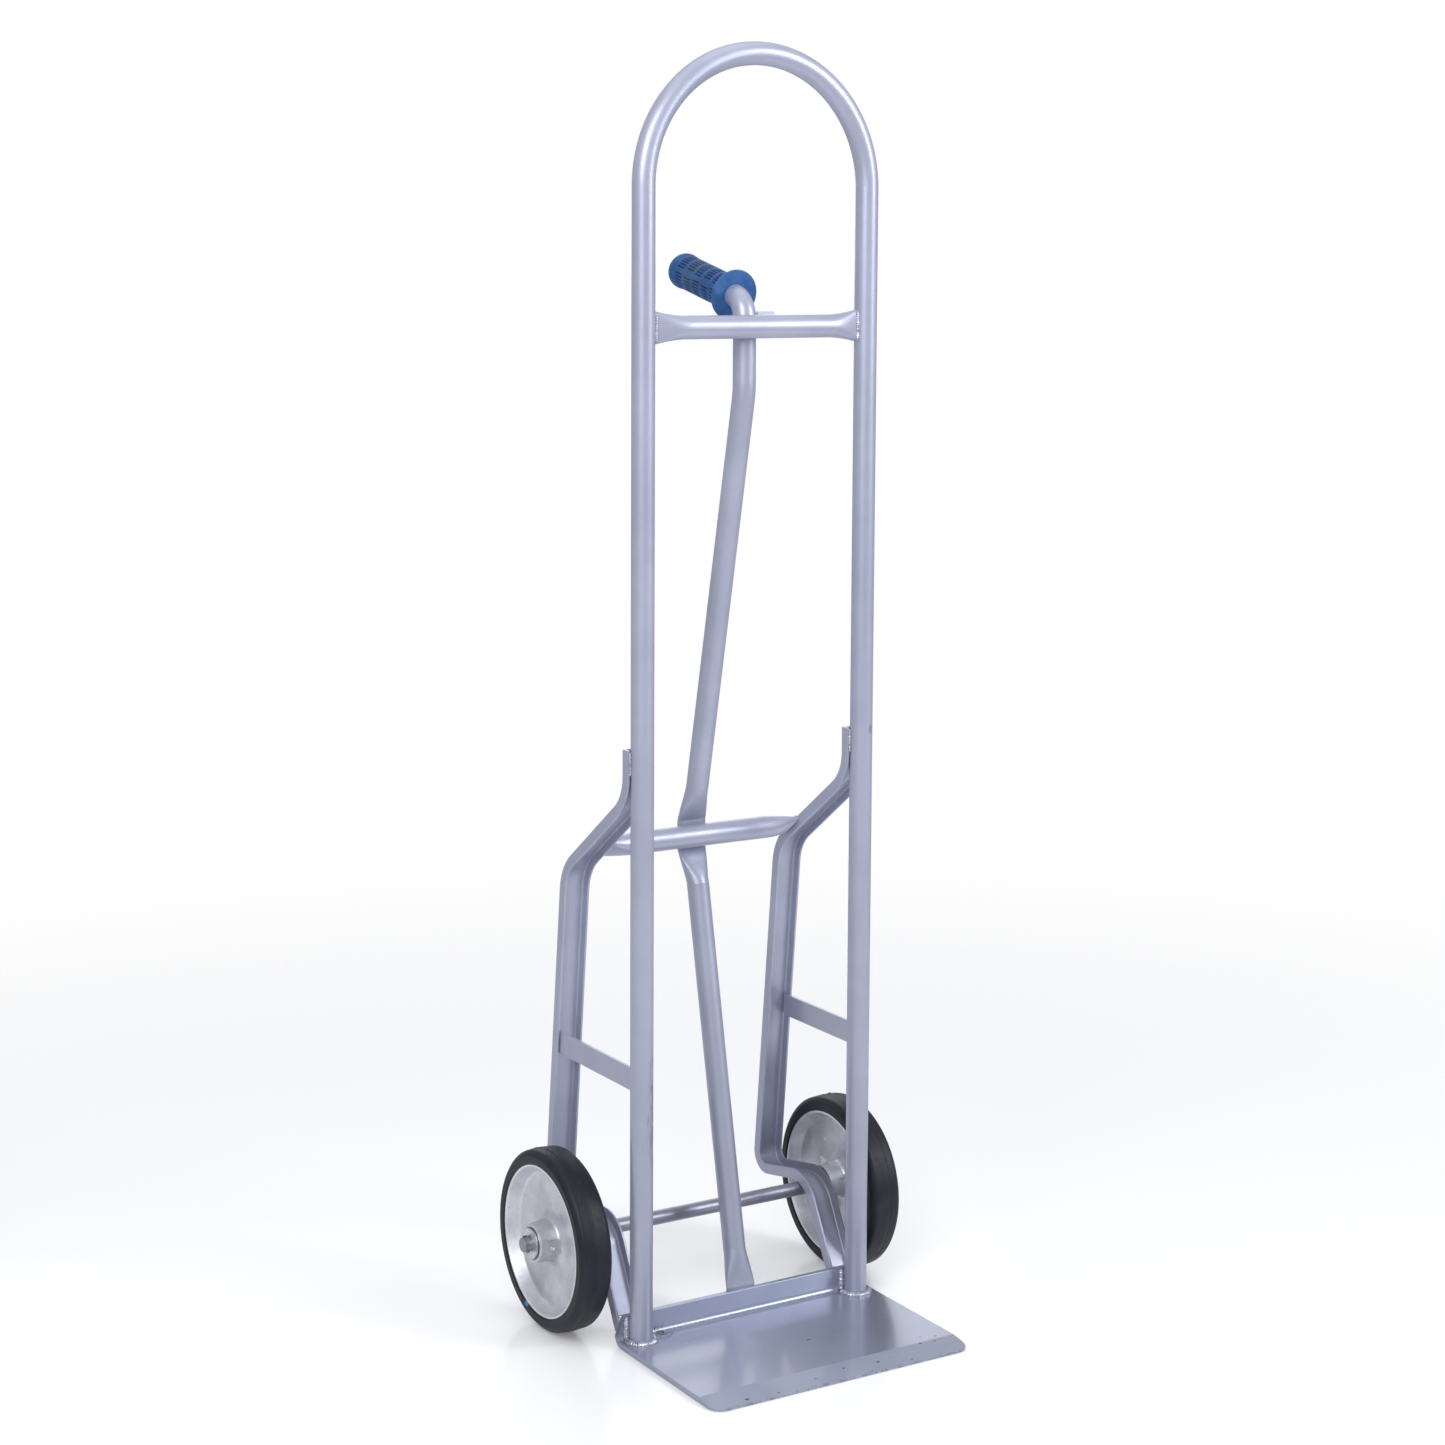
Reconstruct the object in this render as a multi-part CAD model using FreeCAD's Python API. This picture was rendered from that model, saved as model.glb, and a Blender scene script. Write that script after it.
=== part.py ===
import FreeCAD, Part
import math
import os

# Hand truck: bent tube loop on a nose plate, two bent channel brackets that carry a bare axle,
# a centre strut that ends in a sleeved handle, and two cast wheels with moulded rubber tyres.
# Millimetres. +Z is up, the nose plate points to -Y, the wheels are on the +Y side.
# All pieces are drawn with y = 0 on the centre plane of the legs, then shifted by legPlaneY.

V = FreeCAD.Vector

# overall sizes
totalHeight = 1420.0
legSpacing = 284.0
noseReach = 192.8
noseWidth = 329.0
axleSetback = 99.5
tyreRadius = 101.6

# tube and channel stock
tubeOd = 25.4
tubeWall = 2.1
stockFlatness = 6.4
flareLength = 40.0
flareStep = 0.05
flatSquare = 3.6
channelWidth = 31.9
channelDepth = 12.7
channelWeb = 3.2
channelFillet = 2.2
strapHeight = 25.4
strapThickness = 3.2

# nose plate
plateThickness = 6.35
noseFlangeHeight = 33.0
noseBendRadius = 6.35
noseBevelLength = 33.0
noseEdgeThickness = 1.6
noseCornerRadius = 16.0
flangeCornerRadius = 9.0

# crossbars, strut and handle
upperBarHeight = 1115.5
midBarSetback = 118.0
midBarHeight = 534.2
midBarEndShift = -1.2
strutKinkDrop = 72.0
strutKinkRadius = 90.0
strutUpperAngle = 11.9
strutLowerAngle = 11.6
handleAngle = 13.5
handleBendRadius = 27.0
elbowRise = 15.0
gripLength = 124.0
gripRadius = 19.3
gripFlangeRadius = 28.5
gripFlangeThickness = 3.0
gripCapRadius = 20.2
gripCapLength = 20.0
tabWidth = 21.0
tabHeight = 18.0

# bent channel brackets
channelTopHeight = 664.0
channelKneeHeight = 612.0
channelToeHeight = 15.0
heelSetback = 197.5
slopeAngle = 36.3
runTilt = 5.7
heelRise = 10.6
ballLean = -76.5
kneeRadius = 45.0
hipRadius = 60.0
heelRadius = 24.0
toeRadius = 36.0
strapTopHeight = 316.0

# wheels and axle
axleRadius = 7.9375
axleEndLength = 9.5
hubLength = 53.4
hubInset = 24.8
wheelPlay = 10.6
bossRadius = 21.9
rimRadius = 84.5
rimLip = 2.2
rimHalfWidth = 18.8
webStepRadius = 75.0
webThickness = 5.6
webOffset = -1.0
ribCount = 6
ribThickness = 3.4
ribReach = 20.0
greasePadWidth = 16.0
greasePadHeight = 3.5
greasePadInset = 7.0
greaseInset = 12.8
tyreWidth = 40.0
bearingRadius = 19.6
bearingWidth = 11.1
bearingInnerRadius = 12.0
bearingRingWall = 1.5
ballRadius = 3.2
ballCount = 9
washerRadius = 16.7
washerThickness = 2.4
cotterRadius = 1.2
cotterAngle = 60.0
cotterInset = 5.6
fitClearance = 0.05
faceClearance = 0.4
weldRadius = 3.2

legX = legSpacing / 2
tubeRadius = tubeOd / 2
archCentreHeight = totalHeight - legX - tubeRadius
legPlaneY = (noseReach - axleSetback - tyreRadius) / 2
flangeFaceY = tubeRadius
flangeBackY = flangeFaceY + plateThickness
axleHeight = tyreRadius
flatWidth = (math.pi * tubeOd - math.pi * stockFlatness) / 2 + stockFlatness
channelBackY = tubeRadius + channelWeb
channelInsideX = legX - channelWidth / 2
channelOutsideX = legX + channelWidth / 2
channelMouthX = channelOutsideX - channelWeb
strutSetback = tubeOd + 0.2
hubInX = channelOutsideX + washerThickness + faceClearance
hubOutX = hubInX + hubLength
wheelX = hubInX + hubInset
outerWasherX = hubOutX + wheelPlay + faceClearance
axleHalfLength = outerWasherX + washerThickness + axleEndLength


def export(name, shape):
    """Move a finished piece to the shared origin and write it."""
    placed = shape.copy()
    placed.translate(V(0, legPlaneY, 0))
    placed.exportStep("parts/%s.step" % name)


def polar(angle):
    """Direction in the side plane: 0 points to the rear, 90 points up."""
    a = math.radians(angle)
    return V(0, math.cos(a), math.sin(a))


def filletedPath(points, radii):
    """Straight runs in the side plane joined by tangent arcs."""
    edges = []
    start = points[0]
    for i, radius in enumerate(radii, 1):
        corner = points[i]
        back = (points[i - 1] - corner).normalize()
        ahead = (points[i + 1] - corner).normalize()
        half = back.getAngle(ahead) / 2
        reach = radius / math.tan(half)
        enter = corner + back * reach
        leave = corner + ahead * reach
        centre = corner + (back + ahead).normalize() * (radius / math.sin(half))
        middle = centre + (corner - centre).normalize() * radius
        edges.append(Part.makeLine(start, enter))
        edges.append(Part.Arc(enter, middle, leave).toShape())
        start = leave
    edges.append(Part.makeLine(start, points[-1]))
    return Part.Wire(edges)


def sweep(profile, path, binormal=V(1, 0, 0)):
    """Solid swept along a flat path without twist."""
    pipe = Part.BRepOffsetAPI.MakePipeShell(path)
    pipe.setBiNormalMode(binormal)
    pipe.add(profile)
    pipe.build()
    pipe.makeSolid()
    return pipe.shape()


def flatSection(centre, wide, thin, width, thickness, square):
    """Closed outline between a circle (square = 2) and a pressed-flat tube (a higher square)."""
    points = []
    count = 20
    for i in range(count):
        a = 2 * math.pi * (i + 0.5) / count
        c, s = math.cos(a), math.sin(a)
        u = math.copysign(abs(c) ** (2 / square), c) * width / 2
        v = math.copysign(abs(s) ** (2 / square), s) * thickness / 2
        points.append(centre + wide * u + thin * v)
    curve = Part.BSplineCurve()
    curve.interpolate(Points=points, PeriodicFlag=True)
    return Part.Wire(curve.toShape())


def trumpet(t):
    """Share of the pressing along a free end: it grows to the very end."""
    return t ** 1.8


def levelled(t):
    """Share of the pressing where a flat strip goes on past the end."""
    return t * t * (3 - 2 * t)


def flare(start, end, wide, thinStart, thinEnd, wall, form, steps=6):
    """Loft from a round tube section at start to a pressed-flat one, a hair inside both neighbours."""
    sections = []
    inset = 2 * (wall + flareStep)
    for i in range(steps + 1):
        t = i / steps
        blend = form(t)
        thin = (thinStart * (1 - t) + thinEnd * t).normalize()
        width = tubeOd + (flatWidth - tubeOd) * blend - inset
        thickness = tubeOd + (stockFlatness - tubeOd) * blend - inset
        centre = start + (end - start) * t
        sections.append(flatSection(centre, wide, thin, width, thickness, 2 + (flatSquare - 2) * blend))
    return Part.makeLoft(sections, True, False)


def roundedFace(points, place):
    """Closed outline of (u, v, corner radius) points, set in space by place(u, v)."""
    edges = []
    corners = [place(u, v) for u, v, radius in points]
    count = len(points)
    starts, ends = [], []
    for i, (u, v, radius) in enumerate(points):
        corner = corners[i]
        back = corners[i - 1] - corner
        ahead = corners[(i + 1) % count] - corner
        back.normalize()
        ahead.normalize()
        if radius > 0:
            half = back.getAngle(ahead) / 2
            reach = radius / math.tan(half)
            centre = corner + (back + ahead).normalize() * (radius / math.sin(half))
            middle = centre + (corner - centre).normalize() * radius
            starts.append(corner + back * reach)
            ends.append(corner + ahead * reach)
            edges.append(Part.Arc(starts[i], middle, ends[i]).toShape())
        else:
            starts.append(corner)
            ends.append(corner)
    for i in range(count):
        a, b = ends[i], starts[(i + 1) % count]
        if (b - a).Length > 1e-6:
            edges.append(Part.makeLine(a, b))
    return Part.Face(Part.Wire(Part.__sortEdges__(edges)))


def turned(points, origin=V(0, 0, 0), axis=V(1, 0, 0), across=V(0, 0, 1)):
    """Turn an outline of (along the axis, radius, corner radius) points."""
    face = roundedFace(points, lambda u, v: origin + axis * u + across * v)
    return face.revolve(origin, axis, 360)


def wheelTurned(points):
    return turned(points, V(0, axleSetback, axleHeight))


def rod(start, end, radius):
    axis = end - start
    return Part.makeCylinder(radius, axis.Length, start, axis)


def pipe(start, end, radius, bore):
    return rod(start, end, radius).cut(rod(start, end, bore))


def box(low, high):
    return Part.makeBox(high[0] - low[0], high[1] - low[1], high[2] - low[2], V(*low))


def mirrored(shape):
    return shape.mirror(V(0, 0, 0), V(1, 0, 0))


def bothSides(shapes):
    return Part.makeCompound(shapes + [mirrored(s) for s in shapes])


def fuseAll(shapes):
    result = shapes[0].multiFuse(shapes[1:]) if len(shapes) > 1 else shapes[0]
    return result.removeSplitter()


def trimmed(shape, neighbours):
    """Weld metal fills only the space that its neighbours leave; the largest lump is kept."""
    for other in neighbours:
        shape = shape.cut(other)
    return max(shape.Solids, key=lambda solid: solid.Volume)


def bead(points, radius):
    """Round weld bead along a run of points."""
    lumps = [Part.makeSphere(radius, p) for p in points]
    runs = [rod(a, b, radius) for a, b in zip(points, points[1:])]
    return fuseAll(runs + lumps)


# nose plate

def nosePlate():
    outside = noseBendRadius + plateThickness
    side = [
        (-noseReach, 0, 0),
        (flangeBackY, 0, outside),
        (flangeBackY, noseFlangeHeight, 1.0),
        (flangeFaceY, noseFlangeHeight, 1.0),
        (flangeFaceY, plateThickness, noseBendRadius),
        (-noseReach + noseBevelLength, plateThickness, 0),
        (-noseReach, noseEdgeThickness, 0),
    ]
    half = noseWidth / 2
    plate = roundedFace(side, lambda y, z: V(-half, y, z)).extrude(V(noseWidth, 0, 0))
    reach = noseCornerRadius
    drop = flangeCornerRadius
    for hand in (-1, 1):
        x = hand * half
        inner = x - hand * reach
        front = -noseReach + reach
        square = box((min(x, inner), -noseReach, -1), (max(x, inner), front, 2 * plateThickness))
        keep = rod(V(inner, front, -1), V(inner, front, 2 * plateThickness), reach)
        plate = plate.cut(square.cut(keep))
        # the upper corners of the upturned flange are cut on a slant
        slant = Part.Face(Part.makePolygon([
            V(x + hand, -1, plateThickness + 2),
            V(x + hand, -1, noseFlangeHeight + 1),
            V(x - hand * drop, -1, noseFlangeHeight + 1),
            V(x + hand, -1, plateThickness + 2),
        ])).extrude(V(0, 2 * flangeBackY, 0))
        plate = plate.cut(slant)
    return plate


# tube loop

def legRod(side, radius=tubeRadius):
    return rod(V(side * legX, 0, plateThickness), V(side * legX, 0, archCentreHeight), radius)


def tubeLoop(plate):
    """One bent tube; the rear of each foot is ground to sit in the bend of the plate."""
    def solid(radius):
        disc = Part.Face(Part.Wire(Part.makeCircle(radius, V(legX, 0, archCentreHeight), V(0, 0, 1))))
        arch = disc.revolve(V(0, 0, archCentreHeight), V(0, -1, 0), 180)
        return fuseAll([legRod(-1, radius), arch, legRod(1, radius)])
    return solid(tubeRadius).cut(solid(tubeRadius - tubeWall)).cut(plate)


# crossbars

def crossbar(centre, halfLength, wide, thin, shift):
    """Round bar along X with both ends pressed flat; shift moves the pressed ends along thin."""
    def solid(wall):
        reach = V(halfLength - flareLength, 0, 0)
        parts = [rod(centre - reach, centre + reach, tubeRadius - wall)]
        for side in (-1, 1):
            end = centre + V(side * halfLength, 0, 0) + thin * shift
            parts.append(flare(centre + reach * side, end, wide, thin, thin, wall, trumpet))
        return fuseAll(parts)
    return solid(0).cut(solid(tubeWall))


def upperCrossbar():
    bar = crossbar(V(0, 0, upperBarHeight), legX - tubeRadius + 1.0, V(0, 0, 1), V(0, 1, 0), 0)
    return bar.cut(legRod(-1)).cut(legRod(1))


def midCrossbar():
    slope = polar(-slopeAngle)
    normal = polar(90 - slopeAngle)
    return crossbar(V(0, midBarSetback, midBarHeight), channelInsideX, slope, normal, midBarEndShift)


# channel brackets

def crossing(p, d, q, e):
    """Where two lines of the side plane cross."""
    t = ((q.y - p.y) * e.z - (q.z - p.z) * e.y) / (d.y * e.z - d.z * e.y)
    return p + d * t


def channelCorners():
    """Corner points of the outer web line, from the top end down to the toe."""
    top = V(0, channelBackY, channelTopHeight)
    knee = V(0, channelBackY, channelKneeHeight)
    # the bend over the axle rests on it, and the lips then run straight down to the nose flange
    lean = toeRadius - axleRadius - fitClearance
    centre = V(0, axleSetback, axleHeight) + polar(ballLean) * lean
    heelLine = polar(-heelRise)
    behind = centre + polar(90 - heelRise) * toeRadius
    heel = behind + heelLine * ((heelSetback - behind.y) / heelLine.y)
    hip = crossing(knee, polar(-slopeAngle), heel, polar(-90 + runTilt))
    lip = V(0, flangeBackY, channelToeHeight)
    gap = centre - lip
    toeAngle = math.degrees(math.atan2(gap.z, gap.y) + math.asin((toeRadius + channelDepth) / gap.Length))
    toeLine = polar(180 + toeAngle)
    toe = lip + polar(toeAngle - 90) * channelDepth
    ball = crossing(toe, toeLine, heel, heelLine)
    return [top, knee, hip, heel, ball, toe + toeLine * 10]


def channelSection(origin):
    """C section with its web towards +Y and its mouth towards -Y; the inside corners are rounded."""
    half = channelWidth / 2
    inner = half - channelWeb
    taper = 0.8
    outline = [
        (-half, 0, 1.2),
        (half, 0, 1.2),
        (half, channelDepth, 0.8),
        (inner + taper, channelDepth, 0),
        (inner, channelWeb, channelFillet),
        (-inner, channelWeb, channelFillet),
        (-inner - taper, channelDepth, 0),
        (-half, channelDepth, 0.8),
    ]
    return roundedFace(outline, lambda x, depth: origin + V(x, -depth, 0)).OuterWire


def rightChannel():
    corners = [c + V(legX, 0, 0) for c in channelCorners()]
    path = filletedPath(corners, [kneeRadius, hipRadius, heelRadius, toeRadius])
    channel = sweep(channelSection(corners[0]), path)
    # the toe is ground flat against the back of the nose flange, clear of the plate
    ahead = box((0, flangeBackY - 200, 0), (2 * legX, flangeBackY, 200))
    under = box((0, -100, channelToeHeight - 200), (2 * legX, 300, channelToeHeight - 4))
    return channel.cut(legRod(1)).cut(ahead).cut(under)


def strap(channel):
    """Flat bar in the mouth of the channel, run forward to the side of the leg."""
    bottom = strapTopHeight - strapHeight
    outside = channelMouthX - fitClearance
    bar = box((outside - strapThickness, 0, bottom), (outside, heelSetback, strapTopHeight))
    run = channelCorners()[3]
    reach = run.y - (strapTopHeight - run.z) * math.tan(math.radians(runTilt)) - channelWeb - channelFillet
    bar = bar.cut(box((0, reach, 0), (2 * legX, 300, totalHeight)))
    return trimmed(bar, [legRod(1), channel])


# centre strut and handle

def handleFrame():
    """Elbow corner, direction of the handle, and where the straight handle begins."""
    direction = polar(handleAngle)
    corner = V(0, strutSetback, upperBarHeight + tubeRadius + elbowRise)
    turn = math.radians(90 - handleAngle) / 2
    return corner, direction, corner + direction * (handleBendRadius * math.tan(turn))


def centreStrut():
    corner, direction, gripStart = handleFrame()
    kink = V(0, strutSetback, upperBarHeight - strutKinkDrop)
    upper = polar(-90 + strutUpperAngle)
    lower = polar(90 - strutLowerAngle)
    stripY = midBarSetback + tubeRadius + stockFlatness / 2 + fitClearance
    stripHalf = tubeRadius + 3.0
    upperEnd = kink + upper * ((kink.z - midBarHeight - stripHalf - flareLength) / -upper.z)
    footY = flangeBackY + stockFlatness / 2 + 2 * fitClearance
    footTop = V(0, footY, noseFlangeHeight + 2)
    lowerStart = V(0, footY + flareLength * 0.34, footTop.z + flareLength)
    lowerEnd = lowerStart + lower * ((midBarHeight - stripHalf - flareLength - lowerStart.z) / lower.z)
    wide = V(1, 0, 0)
    level = V(0, 1, 0)
    tiltUpper = V(0, -upper.z, upper.y)
    tiltLower = V(0, lower.z, -lower.y)

    def solid(wall):
        handleEnd = gripStart + direction * (gripLength - gripCapLength + 6)
        path = filletedPath([upperEnd, kink, corner, handleEnd], [strutKinkRadius, handleBendRadius])
        section = Part.Wire(Part.makeCircle(tubeRadius - wall, upperEnd, upper))
        stripTop = V(0, stripY, midBarHeight + stripHalf)
        stripLow = V(0, stripY, midBarHeight - stripHalf)
        width, thickness = flatWidth - 2 * wall, stockFlatness - 2 * wall
        def strip(low, high):
            ends = [flatSection(p, wide, level, width, thickness, flatSquare) for p in (low, high)]
            return Part.makeLoft(ends, True, False)
        return fuseAll([
            strip(V(0, footY, plateThickness + 3), footTop),
            flare(lowerStart, footTop, wide, tiltLower, level, wall, levelled),
            rod(lowerStart, lowerEnd, tubeRadius - wall),
            flare(lowerEnd, stripLow, wide, tiltLower, level, wall, levelled),
            strip(stripLow, stripTop),
            flare(upperEnd, stripTop, wide, tiltUpper, level, wall, levelled),
            sweep(section, path),
        ])
    return solid(0).cut(solid(tubeWall))


def handleGrip():
    corner, direction, start = handleFrame()
    bore = tubeRadius + fitClearance
    inner = gripLength - gripCapLength + 6 + fitClearance
    outline = [
        (0, bore, 0),
        (0, gripFlangeRadius, 1.4),
        (gripFlangeThickness, gripFlangeRadius, 1.4),
        (gripFlangeThickness, gripRadius, 1.0),
        (gripLength - gripCapLength, gripRadius, 0),
        (gripLength - gripCapLength + 1.2, gripCapRadius, 0.8),
        (gripLength, gripCapRadius, 8.0),
        (gripLength, 0, 0),
        (inner, 0, 0),
        (inner, bore, 0),
    ]
    return turned(outline, start, direction, V(0, -direction.z, direction.y))


def handleTab():
    low = (tubeRadius * 0.7, tubeRadius + 0.1, upperBarHeight - 2)
    tab = box(low, (low[0] + tabWidth, low[1] + strapThickness, low[2] + tabHeight))
    corner = handleFrame()[0]
    return tab.cut(rod(V(0, strutSetback, 900), corner, tubeRadius + 0.02))


# axle and wheels

def axle():
    bar = turned([
        (-axleHalfLength, 0, 0),
        (-axleHalfLength, axleRadius, 1.0),
        (axleHalfLength, axleRadius, 1.0),
        (axleHalfLength, 0, 0),
    ], V(0, axleSetback, axleHeight))
    for side in (-1, 1):
        bar = bar.cut(cotterRod(side, cotterRadius + 0.25, 2 * axleRadius))
    return bar


def cotterRod(side, radius, reach):
    """Straight rod through the axle end, tilted as a bent split pin sits."""
    centre = V(side * (axleHalfLength - cotterInset), axleSetback, axleHeight)
    tilt = polar(cotterAngle)
    return rod(centre - tilt * reach, centre + tilt * reach, radius)


def cotterPin():
    """Split pin: a round shank through the axle, its eye and its two legs hammered down flat."""
    centre = V(axleHalfLength - cotterInset, axleSetback, axleHeight)
    along = polar(cotterAngle)
    wire = 0.7 * cotterRadius
    hug = axleRadius + wire + 0.1
    eye = Part.makeTorus(1.5 * cotterRadius, wire, centre + along * hug, along)
    shank = cotterRod(1, cotterRadius, axleRadius + 0.6)
    legs = []
    for spread in (-1, 1):
        bends = [centre + polar(cotterAngle + 180 + spread * turn) * hug for turn in (0, 11, 22)]
        legs.append(bead(bends, wire))
    return fuseAll([shank, eye] + legs)


def wheelHub():
    webIn = wheelX + webOffset - webThickness / 2
    webOut = wheelX + webOffset + webThickness / 2
    seat = bearingWidth
    core = bearingRadius - 4.0
    edge = rimHalfWidth
    hub = wheelTurned([
        (hubInX, bearingRadius, 0),
        (hubInX, bossRadius, 0.8),
        (webIn, bossRadius + 1.6, 5.0),
        (webIn - 1.5, webStepRadius, 3.0),
        (wheelX - edge, rimRadius - rimLip, 0.5),
        (wheelX - edge, rimRadius, 0),
        (wheelX + edge, rimRadius, 0),
        (wheelX + edge, rimRadius - rimLip, 0.5),
        (webOut + 3.2, webStepRadius + 1.2, 0.8),
        (webOut + 2.0, webStepRadius - 1.6, 1.4),
        (webOut, bossRadius + 9.0, 12.0),
        (webOut + 5.0, bossRadius + 1.4, 5.0),
        (hubOutX, bossRadius, 0.8),
        (hubOutX, bearingRadius, 0),
        (hubOutX - seat, bearingRadius, 0),
        (hubOutX - seat, core, 0),
        (hubInX + seat, core, 0),
        (hubInX + seat, bearingRadius, 0),
    ])
    centre = V(0, axleSetback, axleHeight)
    parts = [hub]
    for i in range(ribCount):
        rib = Part.Face(Part.makePolygon([
            centre + V(hubInX + 9, -ribThickness / 2, bossRadius - 1),
            centre + V(webIn + 0.6, -ribThickness / 2, bossRadius + ribReach),
            centre + V(webIn + 0.6, -ribThickness / 2, bossRadius - 1),
            centre + V(hubInX + 9, -ribThickness / 2, bossRadius - 1),
        ])).extrude(V(0, ribThickness, 0))
        rib.rotate(centre, V(1, 0, 0), 360 * i / ribCount)
        parts.append(rib)
    half = greasePadWidth / 2
    face = -bossRadius - greasePadHeight
    padLow = centre + V(webOut - 1, face, -half)
    padHigh = centre + V(hubOutX - greasePadInset, -math.sqrt(bossRadius ** 2 - half ** 2) + 0.1, half)
    parts.append(box(tuple(padLow), tuple(padHigh)))
    hole = centre + V(hubOutX - greaseInset, 0, 0)
    return fuseAll(parts).cut(rod(hole, hole + V(0, 2 * face, 0), 2.6))


def greaseFitting():
    base = V(hubOutX - greaseInset, axleSetback - bossRadius - greasePadHeight, axleHeight)
    return turned([
        (-5.0, 0, 0),
        (-5.0, 2.5, 0.4),
        (0.02, 2.5, 0),
        (0.02, 3.5, 0),
        (1.6, 3.5, 0.5),
        (1.9, 2.2, 0),
        (2.8, 1.7, 0),
        (3.8, 2.2, 0.6),
        (4.6, 1.1, 0.3),
        (4.6, 0, 0),
    ], base, V(0, -1, 0), V(1, 0, 0))


def tyre():
    half = tyreWidth / 2
    edge = rimHalfWidth
    side = [
        (wheelX + half, rimRadius + 2.5, 0.6),
        (wheelX + half, tyreRadius - 6.5, 4.0),
        (wheelX + half - 5.0, tyreRadius - 1.0, 5.0),
        (wheelX, tyreRadius, 0),
        (wheelX - half + 5.0, tyreRadius - 1.0, 5.0),
        (wheelX - half, tyreRadius - 6.5, 4.0),
        (wheelX - half, rimRadius + 2.5, 0.6),
        (wheelX - edge, rimRadius, 0),
        (wheelX + edge, rimRadius, 0),
    ]
    return wheelTurned(side)


def bearingCentres():
    return [hubInX + bearingWidth / 2, hubOutX - bearingWidth / 2]


def ballCircle():
    return (bearingInnerRadius + bearingRadius - bearingRingWall) / 2


def raceGroove(x, radius):
    return Part.makeTorus(ballCircle(), radius, V(x, axleSetback, axleHeight), V(1, 0, 0))


def bearingOuterRings():
    half = bearingWidth / 2
    rings = []
    for x in bearingCentres():
        ring = wheelTurned([
            (x - half, bearingRadius - bearingRingWall, 0),
            (x - half, bearingRadius, 0.4),
            (x + half, bearingRadius, 0.4),
            (x + half, bearingRadius - bearingRingWall, 0),
        ])
        rings.append(ring.cut(raceGroove(x, ballRadius + 0.02)))
    return Part.makeCompound(rings)


def bearingInnerRings():
    """Inner rings stand on the axle and reach past the hub to touch the washers."""
    half = bearingWidth / 2 + faceClearance
    bore = axleRadius + fitClearance
    rings = []
    for x in bearingCentres():
        ring = wheelTurned([
            (x - half, bore, 0),
            (x - half, bearingInnerRadius, 0.3),
            (x + half, bearingInnerRadius, 0.3),
            (x + half, bore, 0),
        ])
        rings.append(ring.cut(raceGroove(x, ballRadius + 0.3)))
    return Part.makeCompound(rings)


def bearingBalls():
    balls = []
    for x in bearingCentres():
        for i in range(ballCount):
            a = 2 * math.pi * i / ballCount
            centre = V(x, axleSetback + ballCircle() * math.cos(a), axleHeight + ballCircle() * math.sin(a))
            balls.append(Part.makeSphere(ballRadius, centre))
    return Part.makeCompound(balls)


def bearingSeals():
    seals = []
    for x in bearingCentres():
        for side in (-1, 1):
            outer = x + side * (bearingWidth / 2 - 0.5)
            inner = outer - side * 1.2
            seals.append(pipe(V(min(outer, inner), axleSetback, axleHeight),
                              V(max(outer, inner), axleSetback, axleHeight),
                              bearingRadius - bearingRingWall - 0.02, bearingInnerRadius + 0.35))
    return Part.makeCompound(seals)


def washer(x):
    return pipe(V(x, axleSetback, axleHeight), V(x + washerThickness, axleSetback, axleHeight),
                washerRadius, axleRadius + 0.3)


# welds

def legBaseWelds(plate):
    base = V(legX, 0, plateThickness)
    ring = Part.makeTorus(tubeRadius + 1.0, weldRadius + 0.6, base, V(0, 0, 1))
    parts = [trimmed(ring, [legRod(1), plate])]
    for side in (-1, 1):
        x = legX + side * (tubeRadius - 1.5)
        low = V(x, flangeFaceY - 2.0, plateThickness + weldRadius + 1)
        run = bead([low, V(x, low.y, noseFlangeHeight - 2)], weldRadius)
        parts.append(trimmed(run, [legRod(1), plate, parts[0]]))
    return bothSides(parts)


def channelTopWelds(channel):
    parts = []
    lip = channelBackY - channelDepth
    gap = channelWidth / 2 - channelWeb - tubeRadius
    for side in (-1, 1):
        x = legX + side * (tubeRadius + gap / 2 + 0.9)
        low = V(x, lip - 0.6, channelKneeHeight + 26)
        run = bead([low, V(x, lip - 0.6, channelTopHeight - 2)], 2.0 + gap / 2)
        parts.append(trimmed(run, [legRod(1), channel]))
    return bothSides(parts)


def channelToeWelds(plate, channel):
    half = channelWidth / 2 - 3
    y = flangeBackY + 3.0
    z = noseFlangeHeight - 2.5
    parts = []
    for side in (-1, 1):
        x = legX + side * (channelWidth / 2 - channelWeb / 2)
        run = bead([V(x, y - 1.0, channelToeHeight + 3), V(x, y, z)], 2.8)
        parts.append(trimmed(run, [plate, channel]))
    return bothSides(parts)


def upperBarWelds(bar):
    x = legX - tubeRadius - 0.4
    parts = []
    for side in (-1, 1):
        y = side * (stockFlatness / 2 + 0.6)
        top = upperBarHeight + flatWidth / 2 - 3
        low = upperBarHeight - flatWidth / 2 + 3
        parts.append(trimmed(bead([V(x, y, low), V(x, y, top)], 2.2), [legRod(1), bar]))
    return bothSides(parts)


def midBarWelds(bar, channel):
    slope = polar(-slopeAngle)
    normal = polar(90 - slopeAngle)
    centre = V(channelInsideX - 0.8, midBarSetback, midBarHeight) + normal * midBarEndShift
    reach = flatWidth / 2 - 4
    offset = normal * (stockFlatness / 2 + 0.5)
    run = bead([centre + offset - slope * reach, centre + offset + slope * reach], 2.2)
    return bothSides([trimmed(run, [bar, channel])])


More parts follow.
